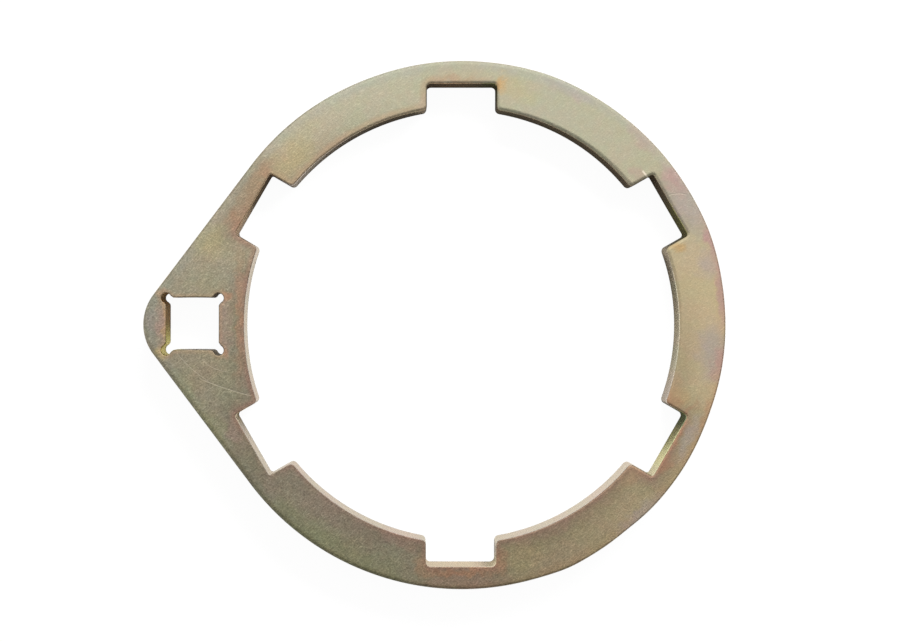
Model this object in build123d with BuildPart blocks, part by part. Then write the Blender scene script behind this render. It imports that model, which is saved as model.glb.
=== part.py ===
from build123d import *
from math import acos, degrees, sqrt
import os

# Ring wrench for the screw cap of a fuel filter.
# It is one flat steel plate: a ring whose opening drops over the cap, with six notches that take the
# ribs of the cap, and a nose at the side with a square hole for a half-inch drive.
# Frame: the origin is the centre of the opening, on the underside of the plate. +Z is up through the
# plate, and the nose points to -X.

# Plate
plate_thickness = 6.0

# Opening for the cap
opening_diameter = 107.2        # across the lands between the notches
notch_count = 6
notch_width = 17.2
notch_depth = 5.75              # from the circle of the lands out to the flat floor of a notch
first_notch_angle = 30.0        # degrees from +X, so that a land lies beside the square hole
ring_wall = 5.65                # steel left behind the floor of a notch

# Square hole for the drive
drive_size = 12.7               # the half-inch square of the driver
drive_clearance = 0.15          # over the whole width
relief_radius = 1.2             # round relief centred on each corner of the square
drive_wall = 6.1                # steel between the opening and the square
nose_wall = 1.85                # steel between a relief and the outside of the nose

# Roundings in plan
notch_corner_radius = 1.2
land_tip_radius = 1.2
relief_blend_radius = 1.0       # where a relief runs into the sides of the square

# Edges where the two faces meet the cut sides: tumbled round, and broken at the drive hole
outer_edge_radius = 0.6
opening_edge_radius = 0.8
drive_edge_chamfer = 0.45

# Values that follow from the sizes above
opening_radius = opening_diameter / 2
notch_floor_distance = opening_radius + notch_depth
ring_radius = notch_floor_distance + ring_wall
drive_hole_size = drive_size + drive_clearance
drive_reach = opening_radius + drive_wall + drive_hole_size / 2

# The nose arc is concentric with the square and clears the far side of its reliefs
nose_radius = drive_hole_size / 2 * sqrt(2) + relief_radius + nose_wall

# The two straight flanks touch the ring and the nose arc. Both arcs meet a flank in the same
# direction, seen from their centres, because the flank is their common outer tangent.
flank_angle = degrees(acos((nose_radius - ring_radius) / drive_reach))

os.makedirs("parts", exist_ok=True)

with BuildPart() as wrench_plate:
    # Blank: the ring and the nose in one outline, with a straight flank on each side
    with BuildSketch() as blank:
        with BuildLine():
            ring_arc = CenterArc((0, 0), ring_radius, -flank_angle, 2 * flank_angle)
            nose_arc = CenterArc((-drive_reach, 0), nose_radius, flank_angle, 360 - 2 * flank_angle)
            Line(ring_arc @ 1, nose_arc @ 0)
            Line(nose_arc @ 1, ring_arc @ 0)
        make_face()
    extrude(amount=plate_thickness)

    # Opening: a circle with a flat-floored notch at every step round it
    with BuildSketch() as opening:
        Circle(opening_radius)
        with PolarLocations(0, notch_count, first_notch_angle):
            Rectangle(notch_floor_distance, notch_width, align=(Align.MIN, Align.CENTER))
        corner_rings = opening.vertices().group_by(SortBy.DISTANCE)
        fillet(corner_rings[0], land_tip_radius)
        fillet(corner_rings[-1], notch_corner_radius)
    extrude(amount=plate_thickness, mode=Mode.SUBTRACT)

    # Drive hole: a square with a round relief on each corner
    with BuildSketch() as drive_hole:
        with Locations((-drive_reach, 0)):
            Rectangle(drive_hole_size, drive_hole_size)
            with GridLocations(drive_hole_size, drive_hole_size, 2, 2):
                Circle(relief_radius)
        fillet(drive_hole.vertices(), relief_blend_radius)
    extrude(amount=plate_thickness, mode=Mode.SUBTRACT)

    # Edges of both faces: the outside, then the opening, then the drive hole
    outer_rims = [face.outer_wire().edges() for face in wrench_plate.faces().filter_by(Axis.Z)]
    fillet(outer_rims, outer_edge_radius)

    hole_rims = [face.inner_wires() for face in wrench_plate.faces().filter_by(Axis.Z)]
    opening_rims = [wires.sort_by(SortBy.LENGTH)[-1].edges() for wires in hole_rims]
    fillet(opening_rims, opening_edge_radius)

    hole_rims = [face.inner_wires() for face in wrench_plate.faces().filter_by(Axis.Z)]
    drive_rims = [wires.sort_by(SortBy.LENGTH)[0].edges() for wires in hole_rims]
    chamfer(drive_rims, drive_edge_chamfer)

wrench_plate.part.label = "wrench_plate"
export_step(wrench_plate.part, "parts/wrench_plate.step")
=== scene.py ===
# %% [markdown]
# # A flat ring wrench for the cap of a fuel filter
#
# The real wrench is one steel plate. It was cut to its outline, tumbled with stones until its
# edges were round, and then zinc plated with a yellow passivation. So there is one piece to build
# here: a plate with three closed edges (the outside, the notched opening and the square drive
# hole) and two flat faces between them. What makes it look real is the roll of its edges and the
# skin of the plating, and most of this lesson is about those two.
#
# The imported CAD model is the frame. It gives the place and the size of everything, so the first
# step is to load it and to write down its box before anything else is made.

# %% Load the frame
import math

import bpy
import numpy as np
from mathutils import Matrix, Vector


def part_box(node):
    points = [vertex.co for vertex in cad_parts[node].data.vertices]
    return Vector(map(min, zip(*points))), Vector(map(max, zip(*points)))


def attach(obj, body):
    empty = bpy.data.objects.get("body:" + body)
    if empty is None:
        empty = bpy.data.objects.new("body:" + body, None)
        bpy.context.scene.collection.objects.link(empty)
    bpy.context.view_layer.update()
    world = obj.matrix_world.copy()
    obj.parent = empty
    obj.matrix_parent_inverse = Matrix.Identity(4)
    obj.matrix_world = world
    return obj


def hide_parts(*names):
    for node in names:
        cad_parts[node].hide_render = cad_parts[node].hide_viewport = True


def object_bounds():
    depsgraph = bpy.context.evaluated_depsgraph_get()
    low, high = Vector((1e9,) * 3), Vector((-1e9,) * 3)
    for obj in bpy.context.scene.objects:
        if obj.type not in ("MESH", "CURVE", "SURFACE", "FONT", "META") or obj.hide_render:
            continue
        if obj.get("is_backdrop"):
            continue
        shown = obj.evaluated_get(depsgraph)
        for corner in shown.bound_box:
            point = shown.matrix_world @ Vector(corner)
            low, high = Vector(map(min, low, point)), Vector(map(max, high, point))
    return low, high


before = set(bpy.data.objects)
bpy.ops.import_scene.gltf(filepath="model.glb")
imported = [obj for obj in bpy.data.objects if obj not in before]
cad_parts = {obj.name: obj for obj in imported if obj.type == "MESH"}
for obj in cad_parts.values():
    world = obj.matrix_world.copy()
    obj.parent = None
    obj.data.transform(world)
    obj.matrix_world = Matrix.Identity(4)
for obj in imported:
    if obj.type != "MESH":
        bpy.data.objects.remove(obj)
cad_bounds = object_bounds()
plate_low, plate_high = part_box("wrench_plate")
print("plate from", [round(v * 1000, 2) for v in plate_low],
      "to", [round(v * 1000, 2) for v in plate_high], "mm")

# %% [markdown]
# ## The sizes of the plate
#
# These are the sizes that the CAD source has, in millimetres. Plans are easier to think about in
# millimetres, and the finished mesh is scaled to metres once, at the end. A point of the plan is
# one complex number, x + iy: adding moves it, and multiplying by e^(i angle) turns it, which
# keeps every outline formula to one line.
#
# The corners of the notches are the exception. In the photograph each one has its own sharpness,
# as a worn cutter or a hand file leaves it, so they have a list of their own.

# %% Sizes in millimetres
MM = 0.001                  # metres in a millimetre
thickness = plate_high.z / MM
ring_radius = plate_high.x / MM
land_radius = 53.6          # the circle of the lands, which fits round the body of the cap
notch_floor = 59.35         # from the centre out to the flat floor of a notch
notch_half = 8.6
tip_round = 1.2             # the tips of the lands
first_notch = -150          # degrees: the notch that the outline starts at
corner_rounds = ((0.7, 1.2), (1.2, 0.7), (1.0, 0.8), (0.5, 1.0), (1.1, 0.5), (0.9, 0.9))
drive_half = 6.425          # half of the square hole
drive_reach = 66.125        # from the centre of the opening to the centre of the square
relief = 1.2                # round relief on each corner of the square
relief_blend = 1.0          # where a relief runs into the sides of the square
nose_radius = -plate_low.x / MM - drive_reach
flank_angle = math.acos((nose_radius - ring_radius) / drive_reach)
print("ring radius", round(ring_radius, 2), "nose radius", round(nose_radius, 2),
      "flanks at", round(math.degrees(flank_angle), 1), "degrees")

# %% Sizes of the tumbled edges, in millimetres
outer_roll = 1.0            # how far the outer edge rolls over
drive_roll = 0.35
sag = 0.33                  # how deep a roll sags, as a share of its width
lip = 0.12                  # the last, tight turn from the roll to the wall
under_roll = 0.25           # the rounding of the lower rim
print("outer edge drops", round(sag * (outer_roll - lip) + lip, 2), "mm before the wall starts")

# %% [markdown]
# ## Camera
#
# The photograph looks straight down on the plate from a short distance: inside the opening, the
# walls on the far right and at the bottom show, and the walls next to the camera's own foot do
# not. That puts the camera over a point between the nose and the opening. A shift of the lens,
# not a tilt, then moves the picture's centre, as it does on a copy stand, so circles stay
# circles.

# %% Camera
picture_width = 0.22104           # metres of the plate's upper face across the picture
camera_height = 0.2797            # above the upper face
camera_foot = (-0.0146, 0.0051)   # the point straight below the lens
picture_centre = (-0.00282, 0.00096)
camera_roll = 0.12                # degrees

camera = bpy.data.objects.new("camera", bpy.data.cameras.new("camera"))
bpy.context.scene.collection.objects.link(camera)
camera.location = (*camera_foot, plate_high.z + camera_height)
camera.rotation_euler = (0, 0, math.radians(camera_roll))
camera.data.lens = camera.data.sensor_width * camera_height / picture_width
camera.data.shift_x = (picture_centre[0] - camera_foot[0]) / picture_width
camera.data.shift_y = (picture_centre[1] - camera_foot[1]) / picture_width
camera.data.clip_start = 0.01
bpy.context.scene.camera = camera
bpy.context.scene.view_settings.view_transform = "Standard"
print("lens", round(camera.data.lens, 1), "mm, shift",
      round(camera.data.shift_x, 3), round(camera.data.shift_y, 3))

# %% [markdown]
# ## Small helpers for node trees
#
# The world, the paper and the plating are all node trees. In a script every node costs four
# lines, so three helpers come first: one fills an input with a number, a colour or a link, one
# adds a node with all of its settings and inputs, and one is the smooth step that most of the
# looks are made of.

# %% Small helpers for node trees
def socket(owner, value):
    """Sets an input to a number or a colour, or links it to another node's output."""
    if hasattr(value, "is_linked"):
        owner.id_data.links.new(value, owner)
    elif hasattr(owner.default_value, "__len__") and not hasattr(value, "__len__"):
        owner.default_value = (value,) * len(owner.default_value)
    elif hasattr(value, "__len__") and len(value) == 3 and len(owner.default_value) == 4:
        owner.default_value = (*value, 1.0)
    else:
        owner.default_value = value


def add_node(tree, kind, inputs=None, **settings):
    """Adds one node, with its settings and inputs, and gives it back."""
    made = tree.nodes.new(kind)
    for name, value in settings.items():
        setattr(made, name, value)
    for name, value in (inputs or {}).items():
        socket(made.inputs[name], value)
    return made


def smooth_step(tree, value, start, end, low, high):
    """Goes smoothly from low to high while value goes from start to end."""
    limits = {"Value": value, "From Min": start, "From Max": end, "To Min": low, "To Max": high}
    made = add_node(tree, "ShaderNodeMapRange", limits, interpolation_type="SMOOTHSTEP")
    return made.outputs["Result"]


print("helpers ready")

# %% [markdown]
# ## The studio round the wrench
#
# Bare metal has no colour of its own to show: what it shows is the room. In the photograph the
# upper right of the plate is bright and the lower left is dark, although the whole face is flat.
# That is the reflection of a large soft light behind the top of the picture, which the camera
# sees under a slightly different angle at each place. A world that is bright in one direction and
# falls off smoothly does exactly that, with less noise than a lamp. A second, weaker window on
# the left lights the walls that face it. The camera itself sees plain white, as in a cut-out
# product picture.

# %% World
brightest = (0.16, 0.61, 0.776)       # the direction of the large soft light
large_spread = (0.45, 0.95)           # cosines at which it starts, and at which it is full
sky_dark, sky_bright = 0.26, 1.36     # its strength before it starts, and where it is full
side_window, side_spread = (-0.85, 0.0, 0.53), (0.70, 1.0)
side_bright = 0.50
studio_white = (1.0, 0.99, 0.975)

world = bpy.data.worlds.new("studio")
bpy.context.scene.world = world
world.use_nodes = True
sky = world.node_tree
sky.nodes.clear()


def window_light(window, start, full, low, high):
    """Light of a soft window: low where the cosine between the direction and the window is at most
    start, and high where it is at least full."""
    cosine = add_node(sky, "ShaderNodeVectorMath",
                      {0: direction, 1: window}, operation="DOT_PRODUCT")
    return smooth_step(sky, cosine.outputs["Value"], start, full, low, high)


direction = add_node(sky, "ShaderNodeTexCoord").outputs["Generated"]
large_light = window_light(brightest, *large_spread, sky_dark, sky_bright)
side_light = window_light(side_window, *side_spread, 0.0, side_bright)
both = add_node(sky, "ShaderNodeMath", {0: large_light, 1: side_light}, operation="ADD").outputs[0]
studio_light = add_node(sky, "ShaderNodeBackground", {"Color": studio_white, "Strength": both})
white_backdrop = add_node(sky, "ShaderNodeBackground", {"Color": (1, 1, 1), "Strength": 1.0})
is_camera = add_node(sky, "ShaderNodeLightPath").outputs["Is Camera Ray"]
choose = add_node(sky, "ShaderNodeMixShader",
                  {0: is_camera, 1: studio_light.outputs[0], 2: white_backdrop.outputs[0]})
add_node(sky, "ShaderNodeOutputWorld", {"Surface": choose.outputs[0]})
print("world with", len(sky.nodes), "nodes, strength", sky_dark, "to", sky_bright)

# %% [markdown]
# ## A lamp for the paper
#
# The lower walls of the opening mirror the paper below them, and in the photograph they are
# nearly white, so the paper inside the opening has to be lit. This area lamp stands low behind
# the top right and gives the paper its light and its soft shadow. The metal does not mirror the
# lamp itself, since the real one is outside the angles that the plate reflects.

# %% Lamp for the paper
lamp_power = 17.0                     # watts
lamp_width, lamp_height = 0.5, 0.2    # metres
lamp_place = (0.17, 0.40, 0.18)
lamp_tilt, lamp_turn = -68, -23       # degrees: tipped towards the wrench, then turned to it

paper_lamp = bpy.data.objects.new("paper_lamp", bpy.data.lights.new("paper_lamp", "AREA"))
bpy.context.scene.collection.objects.link(paper_lamp)
paper_lamp.data.shape = "RECTANGLE"
paper_lamp.data.size, paper_lamp.data.size_y = lamp_width, lamp_height
paper_lamp.data.energy = lamp_power
paper_lamp.visible_camera = False
paper_lamp.visible_glossy = False
paper_lamp.location = lamp_place
paper_lamp.rotation_euler = (math.radians(lamp_tilt), 0, math.radians(lamp_turn))
print("lamp of", lamp_power, "W,", lamp_width, "m wide")

# %% [markdown]
# ## The floor
#
# The wrench lies on white paper that the picture shows as pure white, with hardly a shadow.
# Turning up the lamps until the paper clips would burn out the metal as well. So the paper is a
# mixture: for the camera it is almost all glow of strength 1, with a little matt paper that still
# takes the shadow, and for every other ray it is matt paper. The metal mirrors it at a lower
# brightness, because the real sheet is smaller than this floor and the room behind it is darker.

# %% Floor
floor_reach = 1.5                 # metres from the middle to each side
paper_white = 0.86
mirrored_white = 0.34             # how bright the metal sees the paper
camera_glow = 0.96                # share of glow in what the camera sees

floor_mesh = bpy.data.meshes.new("floor")
floor_corners = [(-floor_reach, -floor_reach, 0), (floor_reach, -floor_reach, 0),
                 (floor_reach, floor_reach, 0), (-floor_reach, floor_reach, 0)]
floor_mesh.from_pydata(floor_corners, [], [(0, 1, 2, 3)])
floor = bpy.data.objects.new("floor", floor_mesh)
bpy.context.scene.collection.objects.link(floor)
floor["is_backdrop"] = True

paper = bpy.data.materials.new("white_paper_sweep")
paper.use_nodes = True
sheet = paper.node_tree
sheet.nodes.clear()
path = add_node(sheet, "ShaderNodeLightPath").outputs
glow = add_node(sheet, "ShaderNodeEmission", {"Color": (1, 1, 1), "Strength": 1.0})
shade = add_node(sheet, "ShaderNodeMapRange",
                 {"Value": path["Is Glossy Ray"], "To Min": paper_white, "To Max": mirrored_white})
matt = add_node(sheet, "ShaderNodeBsdfDiffuse", {"Color": shade.outputs["Result"]})
share = add_node(sheet, "ShaderNodeMath",
                 {0: path["Is Camera Ray"], 1: camera_glow}, operation="MULTIPLY")
mixed = add_node(sheet, "ShaderNodeMixShader",
                 {0: share.outputs[0], 1: matt.outputs[0], 2: glow.outputs[0]})
add_node(sheet, "ShaderNodeOutputMaterial", {"Surface": mixed.outputs[0]})
floor_mesh.materials.append(paper)
print("floor of", 2 * floor_reach, "m, paper", paper_white)

# %% [markdown]
# ## Outlines from arcs and straight lines
#
# A cutter follows arcs and straight lines, so the outlines are chains of these two. Each run
# gives its points and, for every point, the normal that looks out of the steel, because the edges
# are later rolled over along it. Sampling the CAD's own edges would be quicker, but then nothing
# could be changed by a name. All runs leave their last point out: the next run starts there.

# %% Outline helpers
def arc(centre, radius, start, end, count, steel_inside):
    """centre + radius * e^(i angle), the angle going evenly from start to end (last point left
    out). The second array is the unit normal out of the steel: away from the centre, or to it."""
    way = np.exp(1j * np.linspace(start, end, count, endpoint=False))
    return centre + radius * way, way if steel_inside else -way


def straight(start, end, count, steel_on_left=False):
    """start + t * (end - start), t going evenly from 0 to 1 (last point left out).
    The normal out of the steel is the direction of travel, turned by a quarter."""
    way = (end - start) / abs(end - start)
    t = np.linspace(0, 1, count, endpoint=False)
    return start + t * (end - start), np.full(count, way * (-1j if steel_on_left else 1j))


def chain(*runs):
    """Runs end to end: all their points, and all their normals."""
    return tuple(np.concatenate(parts) for parts in zip(*runs))


def turned(run, angle):
    """The run turned round the origin: every number times e^(i angle)."""
    return tuple(part * np.exp(1j * angle) for part in run)


def mirrored(half, mirror_angle):
    """The run walked backwards in the mirror line at mirror_angle, without its first point.
    Mirroring in a line at angle a is the complex conjugate, turned by 2a."""
    return tuple(np.conj(part[:0:-1]) * np.exp(2j * mirror_angle) for part in half)


# %% [markdown]
# ## The notched opening
#
# The opening drops over the cap, and its six notches take the ribs of the cap. The smallest part
# that repeats is half a notch with half a land: floor, corner, side, tip and land. A sixth of the
# opening is such a half and the mirror image of another one. Both halves have the same number of
# points whatever their corner's radius is, so each corner can be as sharp as the photograph shows
# it.

# %% Opening
opening_counts = {"floor": 18, "corner": 8, "side": 11, "tip": 9, "land": 50}
sixth_turn = math.pi / 3


def half_notch(corner_round):
    """From the middle of a notch floor to the middle of the next land, for a notch along +x: floor,
    corner, side, land tip and half a land. The tip's centre lies where a circle of the tip's radius
    touches both the notch side and the circle of the lands."""
    count = opening_counts
    corner = complex(notch_floor - corner_round, notch_half - corner_round)
    tip_y = notch_half + tip_round
    tip = complex(math.sqrt((land_radius + tip_round) ** 2 - tip_y ** 2), tip_y)
    tip_angle = math.atan2(tip.imag, tip.real)
    return chain(
        straight(complex(notch_floor, 0), complex(notch_floor, corner.imag), count["floor"]),
        arc(corner, corner_round, 0, math.pi / 2, count["corner"], False),
        straight(complex(corner.real, notch_half), complex(tip.real, notch_half), count["side"]),
        arc(tip, tip_round, -math.pi / 2, tip_angle - math.pi, count["tip"], True),
        arc(0, land_radius, tip_angle, sixth_turn / 2, count["land"], False),
    )


def opening_outline():
    """Closed outline of the opening, walked anticlockwise from the middle of the first notch."""
    middle = arc(0, land_radius, sixth_turn / 2, sixth_turn / 2, 1, False)
    sixths = []
    for k, (near_corner, far_corner) in enumerate(corner_rounds):
        far_half = mirrored(half_notch(far_corner), sixth_turn / 2)
        one = chain(half_notch(near_corner), middle, far_half)
        sixths.append(turned(one, math.radians(first_notch) + k * sixth_turn))
    return chain(*sixths)


opening_wall, opening_normal = opening_outline()
columns = len(opening_wall)
sixth = columns // 6
print(columns, "points round the opening")

# %% [markdown]
# ## The roll of the opening's edge
#
# Tumbling rounds an edge more where the stones reach it well. In the photograph the edge is a
# broad soft band on the upper right lands, narrower inside the notches, and hardly there along
# the bottom. The width of the roll is therefore a function of the angle. The flat face starts at
# the inner end of the roll, so the edge of the face is the wall line, moved into the steel by
# that width.

# %% Roll of the opening's edge
roll_least, roll_more = 0.26, 0.78    # millimetres: everywhere, and added where it is widest
roll_towards = math.radians(45)
slimmer_in_notch = 0.2
roll_ripple = 0.03


def roll_of_opening():
    """The least roll, plus more * wide^1.5 with wide = (1 + cosine of the angle from the upper
    right) / 2, a fifth less on a notch floor, plus a ripple of nine waves round the opening."""
    way = np.angle(opening_wall)
    wide = 0.5 + 0.5 * np.cos(way - roll_towards)
    in_notch = np.clip((np.abs(opening_wall) - land_radius) / (notch_floor - land_radius), 0, 1)
    return (roll_least + roll_more * wide ** 1.5 * (1 - slimmer_in_notch * in_notch)
            + roll_ripple * np.sin(9 * way + 1.0))


opening_roll = roll_of_opening()
opening_edge = opening_wall - opening_roll * opening_normal
opening_angle = np.unwrap(np.angle(opening_edge))
print("rolled over by", round(opening_roll.min(), 2), "to", round(opening_roll.max(), 2), "mm")

# %% [markdown]
# ## The outside of the ring
#
# Round the ring the outside is a circle, and past the flank angle it is the straight flank of the
# nose. Every point of the outside lies on the same ray as a point of the opening. Then the face
# between the two is a set of straight rulings, and no quad in it is twisted.

# %% Outside of the ring
slim_towards = math.radians(-35)      # where the outer roll is slimmest
slimmer_by = 0.5                      # millimetres
widens_from, full_at = 90, 150        # degrees between which it comes back to its full width


def roll_of_outside(angle):
    """The outer edge rolls over least at the lower right: its full width less slimmer_by * n^2,
    with n = (1 + cosine of the angle from there) / 2. It is full again before the nose."""
    near = 0.5 + 0.5 * np.cos(angle - slim_towards)
    before_nose = np.clip((full_at - np.abs(np.degrees(angle))) / (full_at - widens_from), 0, 1)
    return outer_roll - slimmer_by * near ** 2 * before_nose


def ring_outside(angle, inset):
    """The outside at each polar angle: a circle, and past the flank angle a straight flank, which a
    ray meets at (radius / cosine of the angle between the ray and the normal of the flank)."""
    lean = np.clip(np.abs(angle) - flank_angle, 0, None)
    normal_angle = np.sign(angle) * np.minimum(np.abs(angle), flank_angle)
    return (ring_radius - inset) / np.cos(lean) * np.exp(1j * angle), np.exp(1j * normal_angle)


ring_angle = opening_angle[:5 * sixth + 1]
ring_roll = roll_of_outside(ring_angle)
ring_edge, ring_normal = ring_outside(ring_angle, ring_roll)
print("the nose joins the ring along x =", round(ring_edge[-1].real, 2), "mm")

# %% [markdown]
# ## The nose
#
# The nose carries the drive hole: two straight flanks that leave the ring as tangents, and an arc
# about the middle of the square. It is the same above and below, so half of it is worked out and
# the other half is its mirror image.

# %% Nose
flank_count, nose_count = 105, 36


def nose_outside():
    """From the end of the ring along the upper flank to where it touches the nose arc, round the
    arc to its middle, and the mirror image back along the lower flank."""
    radius = nose_radius - outer_roll
    touch = -drive_reach + radius * np.exp(1j * flank_angle)
    flank = straight(ring_edge[-1], touch, flank_count, steel_on_left=True)
    tip = arc(-drive_reach, radius, flank_angle, math.pi, nose_count, True)
    middle = arc(-drive_reach, radius, math.pi, math.pi, 1, True)
    half = chain(flank, tip)
    return chain(half, middle, mirrored(half, 0.0))


nose_edge, nose_normal = nose_outside()
outside_edge = np.concatenate([ring_edge[:-1], nose_edge])
outside_normal = np.concatenate([ring_normal[:-1], nose_normal])
outside_roll = np.concatenate([ring_roll[:-1], np.full(len(nose_edge), outer_roll)])
print(len(outside_edge), "points round the outside")

# %% [markdown]
# ## The square drive hole
#
# A half-inch square drives the wrench. A sharp inner corner would not let the square seat and
# would crack first, so each corner has a round relief, drilled on the corner itself and blended
# into the sides. The outline overhangs there, as a keyhole does, and a ray from the middle
# crosses it more than once. Therefore a collar is drawn round it: a rounded square with the same
# number of points, which every ray crosses once. Short rulings join the hole to the collar, and
# long ones join the collar to the line round the nose.

# %% Outline of the drive hole
def four_quarters(eighth, middle):
    """An eighth from the middle of a side to the diagonal, its mirror image, and three turns."""
    quarter = chain(eighth, middle, mirrored(eighth, math.pi / 4))
    return chain(*[turned(quarter, k * math.pi / 2) for k in range(4)])


def drive_outline(inset, count):
    """Closed outline of the square hole about its own centre, from the middle of its right side.
    An eighth is side, blend (steel inside) and half a relief (steel outside), which is a disc on
    the corner of the square. A blend touches the side and the disc, so its centre is one blend
    radius off the side and the two radii away from the corner."""
    corner = complex(drive_half, drive_half)
    down = math.sqrt((relief + relief_blend) ** 2 - relief_blend ** 2)
    blend = complex(drive_half + relief_blend, drive_half - down)
    meet = math.atan2(down, -relief_blend)
    side_x = drive_half + inset
    eighth = chain(
        straight(complex(side_x, 0), complex(side_x, blend.imag), count),
        arc(blend, relief_blend - inset, math.pi, meet, count, True),
        arc(corner, relief + inset, meet - math.pi, math.pi / 4, 2 * count, False),
    )
    return four_quarters(eighth, arc(corner, relief + inset, math.pi / 4, math.pi / 4, 1, False))


collar_width = 2.0
blend_from, relief_from = 1.75, 1.4   # where the collar's pieces for them start, from the corner
collar_steps = (0.0, drive_half - blend_from, drive_half - relief_from, drive_half)


def collar_outline(count):
    """A rounded square round the hole, point for point with drive_outline: three straight pieces
    for the side, the blend and half of the relief, and an eighth of a circle about the corner."""
    corner = complex(drive_half, drive_half)
    side = [complex(drive_half + collar_width, y) for y in collar_steps]
    pieces = [straight(a, b, count) for a, b in zip(side[:-1], side[1:])]
    eighth = chain(*pieces, arc(corner, collar_width, 0, math.pi / 4, count, True))
    middle = arc(corner, collar_width, math.pi / 4, math.pi / 4, 1, True)
    return four_quarters(eighth, middle)[0]


print("the reliefs reach", round(abs(drive_outline(0, 9)[0]).max(), 2), "mm from the hole's middle")

# %% Rays from the drive hole to the nose
def rays_to(boundary):
    """For each point of the boundary round the hole: the points of the hole's edge and of the
    collar that go with it, found by the angle at which the hole's middle sees the collar."""
    fine = 400    # points to a piece, to pick from
    edge, normal = drive_outline(drive_roll, fine)
    collar = collar_outline(fine)
    seen = np.unwrap(np.angle(collar))
    wanted = np.unwrap(np.angle(boundary + drive_reach))
    turns = 2 * np.pi * np.floor((wanted - seen[0]) / (2 * np.pi))
    order = np.argsort(seen)

    def pick(values):
        real, imag = (np.interp(wanted - turns, seen[order], part[order], period=2 * np.pi)
                      for part in (values.real, values.imag))
        return real + 1j * imag

    normal = pick(normal)
    return pick(edge) - drive_reach, normal / abs(normal), pick(collar) - drive_reach


def round_the_hole(ring_line, nose_line):
    """The chord between the two ends of the ring, with a point on every ray of the opening, and the
    closed line round the drive hole, which is the chord and the outside of the nose."""
    end, rays = ring_line[-1], opening_angle[5 * sixth:]
    chord = end.real + 1j * np.tan(rays) / math.tan(rays[0]) * end.imag
    return chord, np.concatenate([np.conj(ring_line[-1:]), chord[:0:-1], nose_line])


chord, nose_boundary = round_the_hole(ring_edge, nose_edge)
drive_edge, drive_normal, collar = rays_to(nose_boundary)
print(len(drive_edge), "points round the drive hole")

# %% [markdown]
# ## Faces and edges as grids
#
# A flat face is a ruled surface: rows between two closed lines. An edge of the plate is a profile
# carried along its line: a broad shallow roll, a tight lip, the wall down to the floor and a
# small rounding underneath. A Bevel modifier would make a quarter circle, but a tumbled edge is
# not one. A quarter circle mirrors the room in two hard lines, while the shallow parabola gives
# the one soft band that the photograph shows. Narrow rows next to the edges keep the shading of
# the flat face flat.

# %% Grids
profile_counts = {"roll": 8, "lip": 6, "wall": 6, "under": 5}


def ruled(lines, fractions):
    """Rows between closed lines: line a plus f * (line b - line a), for each pair of neighbours."""
    rows = []
    for (a, b), steps in zip(zip(lines[:-1], lines[1:]), fractions):
        rows += [a + f * (b - a) for f in steps]
    return np.array(rows + [lines[-1]])


def sections(edge, normal, roll):
    """The edge of the plate as a profile carried along a closed outline: out along the normal,
    and down from the upper face. It sags as a parabola to the lip (drop = sag * t^2), turns down
    on an arc of the lip, goes down the wall, and ends in a quarter circle under the lower rim."""
    count = profile_counts
    t = np.linspace(0, 1, count["roll"])[:, None]
    run = roll - lip
    lean = math.atan(2 * sag)
    turn = np.linspace(lean, np.pi / 2, count["lip"])[1:, None]
    radius = lip / (1 - math.sin(lean))
    quarter = np.linspace(0, np.pi / 2, count["under"])[:, None]
    out_roll, drop_roll = run * t, sag * run * t ** 2
    out_lip = run + radius * (np.sin(turn) - math.sin(lean))
    drop_lip = sag * run + radius * (math.cos(lean) - np.cos(turn))
    down = np.linspace(0, 1, count["wall"])[1:-1, None]
    drop_wall = drop_lip[-1] + (thickness - under_roll - drop_lip[-1]) * down
    out_under = roll - under_roll * (1 - np.cos(quarter))
    drop_under = thickness - under_roll * (1 - np.sin(quarter)) + 0 * roll
    out = np.concatenate([out_roll, out_lip, roll + 0 * drop_wall, out_under])
    drop = np.concatenate([drop_roll, drop_lip, drop_wall, drop_under])
    return edge + out * normal, thickness - drop


print("profile of", sum(profile_counts.values()), "steps")

# %% One closed skin
class Skin:
    """Collects grids of points whose columns close round, and the quads between them."""

    def __init__(self):
        self.points, self.quads, self.count = [], [], 0

    def add(self, plan, height, outwards):
        """plan: rows of complex points. The quads face up, or out of the steel on a wall."""
        index = self.count + np.arange(plan.size).reshape(plan.shape)
        beside = np.roll(index, -1, axis=1)
        corners = [index[:-1], index[1:], beside[1:], beside[:-1]]
        if not outwards:
            corners.reverse()
        self.quads.append(np.stack(corners, axis=-1).reshape(-1, 4))
        places = np.stack([plan.real, plan.imag, height + 0 * plan.real], axis=-1)
        self.points.append(places.reshape(-1, 3))
        self.count += plan.size

    def welded(self):
        """Points that lie in the same place become one, and the quads follow."""
        points, quads = np.concatenate(self.points), np.concatenate(self.quads)
        _, first, same = np.unique(np.round(points, 6), axis=0,
                                   return_index=True, return_inverse=True)
        return points[first], same.reshape(-1)[quads]


skin = Skin()
rims = ((opening_edge, opening_normal, opening_roll, False),
        (outside_edge, outside_normal, outside_roll, True),
        (drive_edge, drive_normal, np.full(len(drive_edge), drive_roll), False))
for edge, normal, roll, outwards in rims:
    skin.add(*sections(edge, normal, roll), outwards)
print("three edges with", skin.count, "points")

# %% Upper face
# Each list says where the rows lie between two lines, from 0 at the first to 1 at the second
ring_rows = np.concatenate([[0, 0.012], np.linspace(0.05, 0.95, 13), [0.988]])
collar_rows = [0, 0.1, 0.4, 0.7]
nose_rows = np.concatenate([np.linspace(0, 0.9, 10), [0.98]])
ring_face = ruled([opening_edge, np.concatenate([ring_edge[:-1], chord])], [ring_rows])
nose_face = ruled([drive_edge, collar, nose_boundary], [collar_rows, nose_rows])
skin.add(ring_face, thickness, True)
skin.add(nose_face, thickness, True)
print("with the upper face", skin.count, "points")

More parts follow.
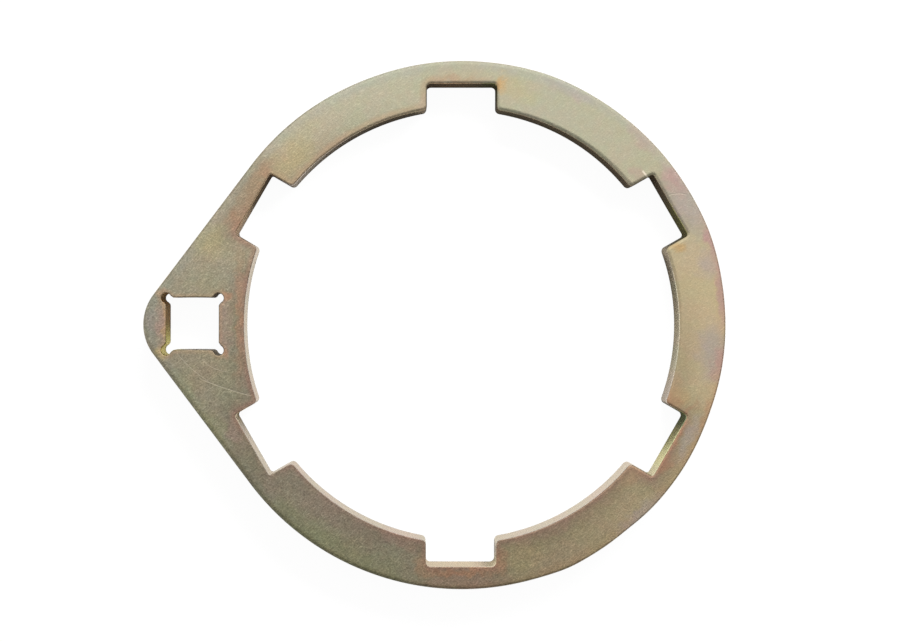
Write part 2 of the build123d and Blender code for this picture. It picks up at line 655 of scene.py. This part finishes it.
# %% Lower face
low_rows = [0, 0.02, 0.3, 0.7, 0.98]
low_collar_rows = [0, 0.2]
opening_low, outside_low, drive_low = (
    edge + (roll - under_roll) * normal for edge, normal, roll, _ in rims)
ring_low = outside_low[:len(ring_edge)]
chord_low, boundary_low = round_the_hole(ring_low, outside_low[len(ring_edge) - 1:])
ring_face = ruled([opening_low, np.concatenate([ring_low[:-1], chord_low])], [low_rows])
nose_face = ruled([drive_low, collar, boundary_low], [low_collar_rows, low_rows])
skin.add(ring_face, 0.0, False)
skin.add(nose_face, 0.0, False)
points, quads = skin.welded()
print(len(points), "points,", len(quads), "quads")

# %% [markdown]
# ## How far it is to the edges
#
# Much of the plating's colour depends on the distance to an edge: the passivation runs red along
# the opening and cool along the outside, and the walls have colours of their own. A shader cannot
# measure that distance on a shape like this one, so it is worked out here for every point and
# stored on the mesh as an attribute. It is measured on the exact plan, before the cut is made
# uneven.

# %% Distances to the edges
block_size = 4000


def distance_to(edge, places):
    """For each place, the distance to the nearest point of the outline, worked out in blocks."""
    blocks = np.array_split(places, len(places) // block_size + 1)
    return np.concatenate([np.abs(block[:, None] - edge[None]).min(axis=1) for block in blocks])


places = points[:, 0] + 1j * points[:, 1]
walls = np.concatenate([edge + roll * normal for edge, normal, roll, _ in rims])
distances = {
    "to_opening": distance_to(opening_edge, places),
    "to_outside": distance_to(outside_edge, places),
    "to_drive": distance_to(drive_edge, places),
    "to_wall": distance_to(walls, places),
}
print("steel is at most", round(float(distances["to_wall"].max()), 1), "mm from a cut wall")

# %% [markdown]
# ## The uneven cut
#
# No cut plate is as true as its drawing. Laid over the photograph, the drawing is off by one or
# two tenths of a millimetre here and there: a hump and a flat at the lower right, a land by the
# nose that stands in, a drive hole a quarter of a millimetre off the line of symmetry. The faces
# are a little wavy from tumbling as well, which the reflections show. So the finished points are
# moved by smooth functions of their angle, which keeps every edge and every grid closed.

# %% Uneven cut
# Humps (+) and flats (-): millimetres, polar angle and width in degrees
outer_humps = ((0.26, -66, 5), (-0.24, -51, 5), (-0.20, -20, 8), (0.20, 20, 8), (0.20, 70, 9),
               (-0.20, 120, 20))
inner_humps = ((-0.25, 180, 16), (0.12, 58, 16))
humps_fade, humps_end = 110, 130      # degrees: the outer ones fade out towards the nose
hole_offset = 0.28                    # how far the drive hole lies above the line of symmetry
moves_with_hole = 9.0                 # how far round the hole's middle the steel moves with it
sink_depth, sink_wave = 0.012, 0.006  # the mean, and the height of each wave
sink_waves = ((0.31, 0.17, 0.0), (-0.29, 0.23, 2.0))   # radians per mm along x and y, and phase


def humps(angle, table):
    """The sum of height * exp(-(a / width)^2), with a the angle from the middle of each hump, in
    degrees, taken the short way round."""
    total = 0.0
    for height, middle, width in table:
        apart = (np.degrees(angle) - middle + 180) % 360 - 180
        total = total + height * np.exp(-(apart / width) ** 2)
    return total


def uneven(points):
    """The plan moved in or out along its rays by a few tenths: near the outside by a few humps and
    flats, and near the opening on two lands. Both fade out across the ring. The drive hole moves
    up with everything near it. The upper face sinks by two crossing waves, and the lower one
    stays flat on the floor."""
    plan = points[:, 0] + 1j * points[:, 1]
    angle, far = np.angle(plan), np.abs(plan)
    across = np.clip((far - land_radius) / (ring_radius - land_radius), 0, 1)
    from_right = np.abs(np.degrees(angle))
    away_from_nose = np.clip((humps_end - from_right) / (humps_end - humps_fade), 0, 1)
    move = (humps(angle, outer_humps) * across ** 2 * away_from_nose
            + humps(angle, inner_humps) * (1 - across) ** 2)
    plan = plan * (1 + move / far)
    near_hole = np.exp(-(np.abs(plan + drive_reach) / moves_with_hole) ** 4)
    plan = plan + 1j * hole_offset * near_hole
    x, y, z = plan.real, plan.imag, points[:, 2]
    waves = sum(np.sin(a * x + b * y + phase) for a, b, phase in sink_waves)
    sink = sink_depth + sink_wave * waves
    return np.stack([x, y, z * (1 - sink / thickness)], axis=-1)


points = uneven(points)
upper = points[points[:, 2] > thickness - 0.1, 2]
print("upper face from", round(float(upper.min()), 3), "to", round(float(upper.max()), 3), "mm")

# %% [markdown]
# ## The mesh
#
# The arrays go into the mesh in whole blocks with foreach_set, which is hundreds of times quicker
# than making faces one by one. The mesh is smooth shaded throughout: the grids have close rows
# wherever the surface turns, so no edge needs to be marked sharp.

# %% Mesh
def make_mesh(name, points, quads):
    """Puts arrays of points (millimetres) and quads into a smooth-shaded mesh (metres)."""
    mesh = bpy.data.meshes.new(name)
    mesh.vertices.add(len(points))
    mesh.vertices.foreach_set("co", (points * MM).ravel())
    mesh.loops.add(quads.size)
    mesh.loops.foreach_set("vertex_index", quads.ravel())
    mesh.polygons.add(len(quads))
    mesh.polygons.foreach_set("loop_start", np.arange(0, quads.size, 4))
    mesh.polygons.foreach_set("use_smooth", np.ones(len(quads), bool))
    mesh.update(calc_edges=True)
    print(name, "had faults that were mended:", mesh.validate())
    return mesh


wrench = bpy.data.objects.new("wrench_body", make_mesh("wrench_body", points, quads))
bpy.context.scene.collection.objects.link(wrench)
for name, values in distances.items():
    wrench.data.attributes.new(name, "FLOAT", "POINT").data.foreach_set("value", values)
print("wrench_body has", len(wrench.data.polygons), "quads,", len(distances), "distances a point")

# %% [markdown]
# ## A material for yellow zinc
#
# Yellow passivation is a thin film over bright zinc. Like a film of oil it changes colour with
# its thickness, from straw over rose to green, and it is thicker near edges and where the bath
# ran off. Underneath, the tumbled steel is satin. So the material is a metal whose colour is
# built up in layers, as a painter would: a broad ground, bands along the edges, single stains,
# and the fine grain last. The helpers below keep each layer to one line.

# %% Node helpers for the plating
plating = bpy.data.materials.new("yellow_zinc_skin")
plating.use_nodes = True
skin_tree = plating.node_tree
shader = skin_tree.nodes["Principled BSDF"]
wrench.data.materials.append(plating)


def report(step):
    """Says which step is done, and how far the node tree has grown."""
    print(step + ",", len(skin_tree.nodes), "nodes")


def attribute(name):
    """A value stored at every point of the mesh."""
    return add_node(skin_tree, "ShaderNodeAttribute", attribute_name=name).outputs["Fac"]


def maths(operation, a, b=0.0, c=0.0):
    """One sum, product or comparison of numbers."""
    return add_node(skin_tree, "ShaderNodeMath", {0: a, 1: b, 2: c}, operation=operation).outputs[0]


def vectors(operation, a, b=(0, 0, 0)):
    """The same for places and colours."""
    made = add_node(skin_tree, "ShaderNodeVectorMath", {0: a, 1: b}, operation=operation)
    return made.outputs["Value" if operation == "DOT_PRODUCT" else "Vector"]


def fade(value, start, end, low=0.0, high=1.0):
    """The smooth step, from 0 to 1 unless it is told otherwise."""
    return smooth_step(skin_tree, value, start, end, low, high)


def noise(place, size, detail=2.0, roughness=0.5, output="Fac"):
    """Noise whose features are about size millimetres across."""
    look = {"Vector": place, "Scale": 1.0 / size, "Detail": detail, "Roughness": roughness}
    return add_node(skin_tree, "ShaderNodeTexNoise", look).outputs[output]


def blend(amount, under, over):
    """under where amount is 0, over where it is 1."""
    made = add_node(skin_tree, "ShaderNodeMix", {"Factor": amount}, data_type="RGBA")
    socket(made.inputs[6], under)
    socket(made.inputs[7], over)
    return made.outputs[2]


def times(colour, factor):
    """Every channel of the colour times one factor, or times the channels of another colour."""
    return vectors("MULTIPLY", colour, factor)


def placed(place, centre, turn, size):
    """place seen from centre, turned by turn degrees and divided by size along each axis."""
    seen = {"Vector": place, "Location": (*centre, 0.0), "Rotation": (0.0, 0.0, math.radians(turn)),
            "Scale": (*size, 1.0)}
    return add_node(skin_tree, "ShaderNodeMapping", seen, vector_type="TEXTURE").outputs[0]


# %% [markdown]
# ## Where a point of the skin is
#
# All patterns read Object coordinates, so they stay on the steel whatever the camera does. They
# are taken in millimetres, to use the same numbers as the drawing. Two more versions of the plan
# wander a little: stains read the one that wanders by up to 2.5 mm, so that no stain is a clean
# ellipse, and the strokes of the grain read the one that wanders by up to 0.3 mm, so that they
# are not ruled.

# %% Coordinates
wander_size = 1 / 0.35    # millimetres
stain_wander, stroke_wander = (5.0, 5.0, 0.0), (0.6, 0.6, 0.0)    # moved by up to half of these

metres = add_node(skin_tree, "ShaderNodeTexCoord").outputs["Object"]
place = vectors("MULTIPLY", metres, (1 / MM,) * 3)
plan = vectors("MULTIPLY", place, (1.0, 1.0, 0.0))
wander = vectors("SUBTRACT", noise(plan, wander_size, 3.0, output="Color"), (0.5, 0.5, 0.5))
loose_plan = vectors("ADD", plan, vectors("MULTIPLY", wander, stain_wander))
bowed_plan = vectors("ADD", plan, vectors("MULTIPLY", wander, stroke_wander))
ray = vectors("NORMALIZE", plan)


def facing(degrees, start, end, low=0.0, high=1.0):
    """Goes from low to high while the cosine of the angle between the ray to this place and the
    polar angle goes from start to end: high on the side of the plate towards that angle."""
    angle = math.radians(degrees)
    cosine = vectors("DOT_PRODUCT", ray, (math.cos(angle), math.sin(angle), 0.0))
    return fade(cosine, start, end, low, high)


near_opening = attribute("to_opening")
near_outside = attribute("to_outside")
near_drive = attribute("to_drive")
on_wall = fade(attribute("to_wall"), 0.16, 0.04)
print("the skin reads", len(distances), "distances")

# %% [markdown]
# ## The colours of the film
#
# Each colour has the name of what it looks like. They are the colours of the metal's reflection, so
# they are lighter than the photograph's darkest parts: the room makes those. One is no colour of
# the film: the khaki darkened by about a third, which is laid as painted shade.

# %% Colours of the film
khaki = (0.480, 0.410, 0.280)
sage = (0.436, 0.426, 0.315)
tan = (0.530, 0.434, 0.273)
ochre = (0.505, 0.405, 0.232)
moss = (0.370, 0.372, 0.215)
olive = (0.400, 0.420, 0.200)
straw = (0.560, 0.470, 0.225)
amber = (0.600, 0.400, 0.200)
rust = (0.500, 0.325, 0.205)
flame = (0.480, 0.270, 0.170)
umber = (0.385, 0.262, 0.200)
red_brown = (0.360, 0.220, 0.165)
rose = (0.545, 0.365, 0.330)
brick = (0.430, 0.305, 0.250)
mauve = (0.370, 0.330, 0.280)
lilac = (0.485, 0.415, 0.375)
bark = (0.335, 0.275, 0.210)
# Khaki darkened by about a third: no film colour, but painted shade on the face.
painted_shade_khaki = (0.300, 0.265, 0.190)
unchanged = (1.0, 1.0, 1.0)
print("the lightest film is straw", straw, "and the darkest red_brown", red_brown)

# %% [markdown]
# ## The ground
#
# Khaki and sage drift into each other, the right side is warmer, and the lower left is greener.
# The last three lines are painted shade rather than colour: the face is darker towards the lower
# left, and a little darker near the opening than at the outside, except at the upper right.

# %% Ground
colour = blend(fade(noise(plan, 16.0), 0.35, 0.65, 0.0, 0.6), khaki, sage)
colour = blend(facing(-22, 0.05, 0.95), colour, tan)
green_side = maths("MULTIPLY", facing(232, 0.80, 0.98), fade(near_opening, 2.5, 9.0, 0.0, 0.65))
colour = blend(green_side, colour, moss)
colour = blend(maths("MULTIPLY", facing(66, 0.55, 1.0), 0.75), colour, sage)
colour = blend(maths("MULTIPLY", facing(108, 0.85, 1.0), 0.45), colour, sage)
# Painted shade: darker towards the lower left, lighter towards the upper right.
colour = times(colour, facing(235, -0.7, 0.85, 1.13, 0.74))
# Painted shade: a little darker near the opening, except towards the upper right.
inner_shade = fade(near_opening, 0.0, 7.0, -0.17, 0.04)
colour = times(colour, maths("MULTIPLY_ADD", inner_shade, facing(60, 0.2, 0.9, 1.0, 0.0), 1.0))
report("ground laid")

# %% [markdown]
# ## Brown bands along the opening
#
# The current crowds at an edge while the zinc is laid, and the film grows darker there. On the
# lower half a brown band with an uneven width follows the opening, with a thin red line right at
# the edge. At the upper left there is only a thin rusty line.

# %% Bands along the opening
low_side = facing(245, -0.3, 0.25)
band_width = fade(noise(plan, 4.5, 3.0), 0.3, 0.7, 1.2, 4.2)
depth = maths("MINIMUM", maths("DIVIDE", near_opening, band_width), 1.0)
band = maths("MULTIPLY", low_side, maths("SUBTRACT", 1.0, depth))
colour = blend(maths("MULTIPLY", band, 0.50), colour, umber)
thin_band = maths("MULTIPLY", facing(125, 0.7, 0.95), fade(near_opening, 1.6, 0.2, 0.0, 0.45))
colour = blend(thin_band, colour, rust)
red_line = maths("MULTIPLY", low_side, fade(near_opening, 1.3, 0.2, 0.0, 0.50))
colour = blend(red_line, colour, red_brown)
report("bands laid")

# %% [markdown]
# ## Stains
#
# The rest of the colour is single stains that sit where they happened to form. Noise could make any
# number of stains, but not these ones, so each is a soft ellipse put where the photograph shows it:
# its colour, its centre and half sizes in millimetres, its turn in degrees and its strength. They
# read the wandering plan, which frays their edges.
# Some of these ellipses are no stains but patches of painted shade and painted light, and comments
# mark them.

# %% Stain helper
stain_end, stain_full = 1.35, 0.25    # in half sizes: where a stain ends, and where it is full


def spot(under, colour, centre, size, turn, strength):
    """A soft ellipse of colour with a wandering edge, for a stain and for a patch of painted shade
    or painted light alike. The spherical gradient is 1 - the distance from the centre, in units of
    where the ellipse ends, and it is stretched to full strength."""
    seen = placed(loose_plan, centre, turn, (size[0] * stain_end, size[1] * stain_end))
    inside = add_node(skin_tree, "ShaderNodeTexGradient",
                      {"Vector": seen}, gradient_type="SPHERICAL")
    amount = fade(inside.outputs["Fac"], 0.0, 1 - stain_full / stain_end, 0.0, strength)
    return blend(amount, under, colour)


def stained(where, under, *stains):
    """Ellipse after ellipse, each over what is there: colour, centre, half sizes, turn, strength.
    Most are stains, and a few are patches of painted shade and painted light.
    """
    for stain in stains:
        under = spot(under, *stain)
    report(f"{len(stains)} stains {where}")
    return under


print("a stain fades from", stain_full, "to", stain_end, "half sizes")

# %% Stains at the top, from left to right
colour = stained(
    "at the top", colour,
    (tan, (-1.0, 62.5), (10.0, 2.6), 0, 0.35),
    (rust, (-1.0, 60.3), (8.0, 1.0), 0, 0.40),
    (amber, (9.7, 59.6), (1.5, 2.2), 0, 0.95),
    (straw, (13.0, 58.0), (6.0, 3.0), -25, 0.30),
    (lilac, (27.0, 57.0), (7.0, 2.0), -26, 0.50),
    (rose, (44.5, 46.0), (5.0, 2.2), -46, 0.40),
    (rose, (43.0, 37.5), (2.6, 1.4), -40, 0.45),
)

# %% Stains at the upper left, round the notch there
colour = stained(
    "at the upper left", colour,
    (ochre, (-42.0, 40.0), (7.5, 4.6), 40, 0.65),
    # The darkened khaki here is painted shade along the notch.
    (painted_shade_khaki, (-53.0, 31.0), (10.5, 4.0), 60, 0.40),
    (flame, (-52.0, 32.0), (10.5, 2.2), 62, 0.35),
    (flame, (-49.0, 38.2), (3.0, 2.4), 40, 0.35),
    (flame, (-55.5, 25.5), (3.0, 2.0), 30, 0.35),
    (straw, (-62.0, 20.0), (4.5, 4.5), 30, 0.25),
)

# %% Stains on the right, downwards
colour = stained(
    "on the right", colour,
    # The darkened khaki here is painted shade on the face beside the notch wall.
    (painted_shade_khaki, (52.6, 30.4), (8.5, 1.2), -60, 0.35),
    (amber, (53.4, 19.2), (2.0, 1.4), 30, 0.80),
    (olive, (54.8, 25.6), (2.2, 2.0), 0, 0.60),
    (lilac, (55.5, 29.5), (9.0, 4.5), -62, 0.80),
    (rose, (52.4, 35.6), (4.5, 2.2), -55, 0.80),
    (rose, (61.2, 21.0), (5.0, 1.6), -71, 0.95),
    (lilac, (60.5, 15.0), (4.0, 3.0), -80, 0.60),
    (rose, (63.8, 9.0), (9.0, 1.4), -83, 0.85),
    (lilac, (61.5, -6.0), (7.0, 4.0), 84, 0.75),
    (rose, (63.6, -9.5), (5.0, 2.2), 82, 0.80),
)

# %% Stains at the lower right, round the notch and the land below it
colour = stained(
    "at the lower right", colour,
    (amber, (52.8, -17.2), (4.0, 3.2), -50, 0.45),
    (flame, (52.0, -19.0), (3.0, 1.8), -50, 0.45),
    (lilac, (56.0, -27.5), (6.5, 1.6), 62, 0.60),
    (flame, (60.0, -23.0), (12.0, 1.3), 68, 0.35),
    (flame, (53.0, -26.8), (11.0, 0.9), 60, 0.70),
    (flame, (50.0, -34.5), (3.0, 2.0), 40, 0.60),
    (rust, (42.5, -36.0), (5.0, 2.4), 45, 0.45),
    (lilac, (44.0, -46.5), (8.0, 1.8), 44, 0.70),
    (umber, (24.0, -49.5), (7.0, 2.0), 26, 0.50),
)

# %% Stains at the bottom, round the notch there
colour = stained(
    "at the bottom", colour,
    (flame, (0.0, -60.8), (10.0, 1.2), 0, 0.80),
    (umber, (0.0, -63.2), (11.0, 2.2), 0, 0.70),
    (flame, (9.8, -58.0), (1.8, 3.6), 0, 0.60),
    (straw, (15.0, -57.0), (6.0, 4.0), 20, 0.25),
    (rust, (-9.6, -58.5), (2.0, 3.0), 0, 0.60),
    (umber, (-15.0, -53.5), (6.0, 1.8), -18, 0.50),
)

# %% Stains at the lower left, up to the nose
colour = stained(
    "at the lower left", colour,
    (bark, (-33.0, -44.5), (19.0, 4.8), -36, 0.70),
    (bark, (-46.0, -39.0), (6.0, 4.0), -40, 0.60),
    (moss, (-29.0, -56.0), (13.0, 3.5), -28, 0.15),
    (moss, (-62.5, -24.0), (15.0, 3.0), -53, 0.50),
    # The darkened khaki here is painted shade by the notch.
    (painted_shade_khaki, (-52.0, -33.0), (9.0, 4.5), -58, 0.80),
    (rose, (-55.5, -26.5), (4.0, 1.6), -60, 0.25),
)

# %% Stains on the nose, round the drive hole
colour = stained(
    "on the nose", colour,
    (mauve, (-76.0, 0.5), (2.2, 7.0), 0, 0.50),
    (brick, (-73.6, -0.5), (1.6, 6.0), 0, 0.70),
    (amber, (-72.8, 0.5), (0.6, 6.0), 0, 0.60),
    (brick, (-58.2, -0.5), (1.8, 8.0), 0, 0.60),
    # Painted light: this patch of plain khaki lifts the painted shade of the ground beside the
    # upper left notch.
    (khaki, (-55.0, 17.0), (5.0, 3.5), 0, 0.40),
    (flame, (-54.6, 2.0), (1.3, 17.0), 0, 0.45),
    (flame, (-58.2, 7.5), (1.5, 1.5), 0, 0.70),
    (flame, (-58.2, -7.2), (1.5, 1.5), 0, 0.60),
    (straw, (-73.6, -6.8), (1.8, 1.6), 0, 0.70),
    (rust, (-73.8, 7.6), (1.9, 1.9), 0, 0.70),
)

# %% [markdown]
# ## The rims
#
# Tumbling wears the film thin along the outside. There it turns cool and bluish at the top and warm
# at the lower right. At the lower left the very edge is darkened as well, which is painted shade.
# Round the drive hole the film is thick and rusty instead, because liquid stays in the reliefs of
# its corners.

# %% Rims
outer_band = fade(near_outside, 2.4, 0.3)
cool_rim = maths("MULTIPLY", outer_band, facing(120, -0.5, 0.8, 0.2, 0.9))
warm_rim = maths("MULTIPLY", outer_band, facing(-35, 0.2, 0.9, 0.0, 0.7))
painted_shade_rim = maths("MULTIPLY", fade(near_outside, 0.7, 0.05), facing(235, 0.3, 0.9))
colour = times(colour, blend(cool_rim, unchanged, (0.95, 1.0, 1.08)))
colour = times(colour, blend(warm_rim, unchanged, (1.06, 0.96, 0.88)))
# Painted shade: the very edge is darker at the lower left.
colour = times(colour, blend(painted_shade_rim, unchanged, (0.86, 0.84, 0.80)))
colour = blend(fade(near_drive, 1.0, 0.1, 0.0, 0.32), colour, rust)
report("rims laid")

# %% [markdown]
# ## The walls of the cut
#
# Below the roll the wall is as the cutter left it. Its base colour is lighter than the face's,
# which is painted light: it brings the lower walls up to the near white of the lit paper they
# mirror. The camera sees the lower walls against the lit paper, nearly white, and the upper ones
# against the shadow, nearly black with a brown or green cast. Their base colours differ far less
# than that, since the reflections do most of it; the rest is painted shade, a darker base colour on
# the upper walls. A few spots on the walls are painted light as well. The wall colour takes over
# from the face colour at the lip.

# %% Walls
# The pale wall colours are lighter than the face's, which is painted light.
pale_wall, pale_wall_too = (0.69, 0.605, 0.54), (0.67, 0.62, 0.55)
outside_wall = (0.50, 0.46, 0.42)
painted_shade_wall = (0.30, 0.23, 0.15)

wall = blend(fade(noise(plan, 9.0), 0.35, 0.65), pale_wall, pale_wall_too)
wall = times(wall, facing(180, 0.5, 0.95, 1.0, 0.92))
wall = stained(
    "on the walls, under the shade", wall,
    ((0.76, 0.65, 0.49), (0.0, -59.5), (14.0, 4.0), 0, 0.8),
    # Painted highlight: a bright spot in the lower right corner of the bottom notch.
    ((1.0, 0.92, 0.66), (8.4, -58.8), (2.4, 2.4), 0, 0.9),
    ((0.48, 0.32, 0.18), (-52.0, 28.5), (19.0, 3.5), 62, 0.95),
    # Painted highlight: a bright spot in the upper corner of the lower left notch.
    ((1.0, 0.86, 0.62), (-54.7, -22.0), (2.4, 2.4), 0, 0.9),
)
wall = blend(fade(near_outside, 3.0, 1.5), wall, outside_wall)
# Painted shade: the upper walls of the opening get a dark base colour that fades out between 4 and
# 8 mm from the opening, so it also reaches the outside wall behind a notch.
painted_shade_side = maths("MULTIPLY", facing(70, 0.25, 0.80), fade(near_opening, 8.0, 4.0))
wall = blend(painted_shade_side, wall, painted_shade_wall)
report("walls begun")

# %% Stains on the walls
wall = stained(
    "on the walls, over the shade", wall,
    ((0.50, 0.32, 0.18), (-3.0, 59.0), (7.0, 3.0), 0, 0.8),
    ((0.24, 0.26, 0.08), (8.0, 58.0), (3.5, 3.0), 0, 0.9),
    ((0.32, 0.33, 0.10), (53.5, 25.0), (6.0, 2.5), -60, 0.95),
    ((0.84, 0.77, 0.58), (54.0, 0.0), (3.0, 21.0), 0, 0.9),
    # The yellow-green film of the lower right notch's wall, made lighter than the film to make up
    # for the shadow at its top: partly painted light.
    ((0.92, 0.92, 0.50), (52.0, -29.0), (11.0, 3.0), 60, 0.9),
    ((0.30, 0.40, 0.22), (55.6, -22.0), (3.5, 2.0), 60, 0.8),
    # The golden film of the drive hole's left wall, with its base colour raised to full to make up
    # for the shadow in the hole: partly painted light.
    ((1.0, 0.70, 0.36), (-72.5, 4.0), (3.5, 8.0), 0, 1.0),
    ((0.90, 0.82, 0.22), (-72.5, -5.0), (3.5, 5.5), 0, 0.95),
)
colour = blend(on_wall, colour, wall)
report("walls laid")

# %% [markdown]
# ## The grain
#
# From close by, the tumbled face is a mass of tiny flecks and short strokes in two directions,
# a millimetre or so long. They show most at the lower left, where the dark room makes every
# bright fleck stand out, and least at the upper right. Plain noise would give only the flecks, so
# the strokes are noise as well, read on a plan that is stretched along the stroke.

# %% Grain
stroke_width, stroke_soft = 0.24, 0.28
grain_off_wall = 0.92     # how much of the grain the walls lose
without_grain = 0.955     # the strokes brighten the face on the whole, so it starts a little lower


def strokes_at(start_place, turn, long, full, strength):
    """Short strokes: noise on a plan that is turned, and stretched to long by stroke_width. Only
    its peaks count. Gives the noise, and the strokes that fade in over stroke_soft up to full."""
    waves = noise(placed(bowed_plan, start_place, turn, (long, stroke_width)), 1.0, 1.0)
    return waves, fade(waves, full - stroke_soft, full, 0.0, strength)


fleck = noise(place, 0.40, 2.0, 0.6)
grit = noise(place, 1.3, 2.0, 0.6)
uphill, uphill_strokes = strokes_at((0, 0), 42, 1.5, 0.78, 0.36)
_, downhill_strokes = strokes_at((3, 7), -32, 1.2, 0.80, 0.26)
rough_side = facing(225, -0.9, 0.9, 0.48, 1.43)
flecks = maths("ADD", fade(fleck, 0.22, 0.78, -0.20, 0.20), fade(grit, 0.3, 0.7, -0.05, 0.05))
grain = maths("ADD", flecks, maths("ADD", uphill_strokes, downhill_strokes))
grain = maths("MULTIPLY", grain, rough_side)
grain = maths("MULTIPLY", grain, maths("MULTIPLY_ADD", on_wall, -grain_off_wall, 1.0))
colour = times(colour, maths("ADD", grain, without_grain))
report("grain laid")

# %% Fine changes of hue
tinge = fade(noise(plan, 1.8), 0.3, 0.7)
patches = fade(noise(loose_plan, 6.0), 0.35, 0.65)
colour = times(colour, blend(tinge, (1.012, 0.994, 0.985), (0.988, 1.006, 1.015)))
colour = times(colour, blend(patches, (1.018, 0.990, 1.012), (0.984, 1.010, 0.984)))
report("hue laid")

# %% [markdown]
# ## Scratches
#
# Three long, slightly bowed scratches run below the drive hole, and two short ones cross the ring
# at the upper right, beside a bright burr at the tip of the land. Each is a line in the material,
# and it is pressed into the bump as well. A scratch of a tenth of a millimetre would need a mesh
# a hundred times as fine if it were modelled.

# %% Scratches
def scratch(start, end, bend, width):
    """1 along a bowed line from start to end: the distance across is |y - bend * (1 - x^2)|, with x
    going from -1 to 1 along it, and the ends fade out."""
    middle = ((start[0] + end[0]) / 2, (start[1] + end[1]) / 2)
    half = math.dist(start, end) / 2
    turn = math.degrees(math.atan2(end[1] - start[1], end[0] - start[0]))
    line = placed(plan, middle, turn, (half, 1.0))
    split = add_node(skin_tree, "ShaderNodeSeparateXYZ", {0: line})
    x, y = split.outputs[0], split.outputs[1]
    bow = maths("MULTIPLY", maths("SUBTRACT", 1.0, maths("MULTIPLY", x, x)), bend)
    across = fade(maths("ABSOLUTE", maths("SUBTRACT", y, bow)), width, width * 0.3)
    return maths("MULTIPLY", across, fade(maths("ABSOLUTE", x), 1.0, 0.75))


bare_zinc, bright_burr = (0.75, 0.68, 0.55), (0.95, 0.86, 0.70)
scratch_strength, burr_strength = 0.36, 0.75
marks = [
    scratch((-69.9, -6.9), (-61.5, -14.2), -0.55, 0.11),
    scratch((-64.5, -13.1), (-51.4, -17.5), -0.30, 0.16),
    scratch((-64.2, -7.9), (-57.0, -11.6), -0.90, 0.10),
    scratch((50.6, 31.9), (55.5, 32.0), 0.45, 0.18),
    scratch((56.7, 29.3), (57.3, 27.4), 0.25, 0.20),
]
scratched = marks[0]
for mark in marks[1:]:
    scratched = maths("MAXIMUM", scratched, mark)
colour = blend(maths("MULTIPLY", scratched, scratch_strength), colour, bare_zinc)
burr = scratch((44.3, 38.1), (46.0, 36.0), 0.0, 0.34)
colour = blend(maths("MULTIPLY", burr, burr_strength), colour, bright_burr)
report("scratches and burr laid")

# %% [markdown]
# ## Gloss and bump
#
# Zinc is a metal, so its whole look is reflection: Metallic is 1 and there is no diffuse colour.
# The film's tint at grazing angles goes into Specular Tint. The satin comes from a roughness of
# about 0.4 that varies with the grain, and the walls are smoother. The bump is very shallow, a
# tenth of a millimetre, and it stays off the walls, where the camera would only see it as noise.

# %% Gloss and bump
grazing_tint = (0.95, 0.88, 0.76, 1.0)
smoothest, roughest = 0.36, 0.48      # the face
smoother_wall = 0.16                  # taken off that on the walls
bump_strength, bump_height = 0.25, 0.12 * MM

socket(shader.inputs["Base Color"], colour)
shader.inputs["Metallic"].default_value = 1.0
shader.inputs["Specular Tint"].default_value = grazing_tint
satin = fade(maths("ADD", fleck, grit), 0.6, 1.4, smoothest, roughest)
roughness = maths("SUBTRACT", satin, maths("MULTIPLY", on_wall, smoother_wall))
socket(shader.inputs["Roughness"], roughness)
height = maths("SUBTRACT", maths("ADD", fleck, maths("MULTIPLY", uphill, 0.7)), scratched)
height = maths("MULTIPLY", height, maths("SUBTRACT", 1.0, on_wall))
bump = add_node(skin_tree, "ShaderNodeBump",
                {"Height": height, "Strength": bump_strength, "Distance": bump_height})
socket(shader.inputs["Normal"], bump.outputs["Normal"])
report("yellow_zinc_skin finished")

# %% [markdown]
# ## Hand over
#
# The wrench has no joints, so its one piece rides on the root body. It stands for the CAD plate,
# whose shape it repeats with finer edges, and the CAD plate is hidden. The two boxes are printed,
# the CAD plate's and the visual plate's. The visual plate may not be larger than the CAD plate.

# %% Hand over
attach(wrench, "root")
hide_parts("wrench_plate")
visual_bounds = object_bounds()
for name, corners in (("cad", cad_bounds), ("visual", visual_bounds)):
    print(name, "box from", *([round(v / MM, 2) for v in corner] for corner in corners), "mm")
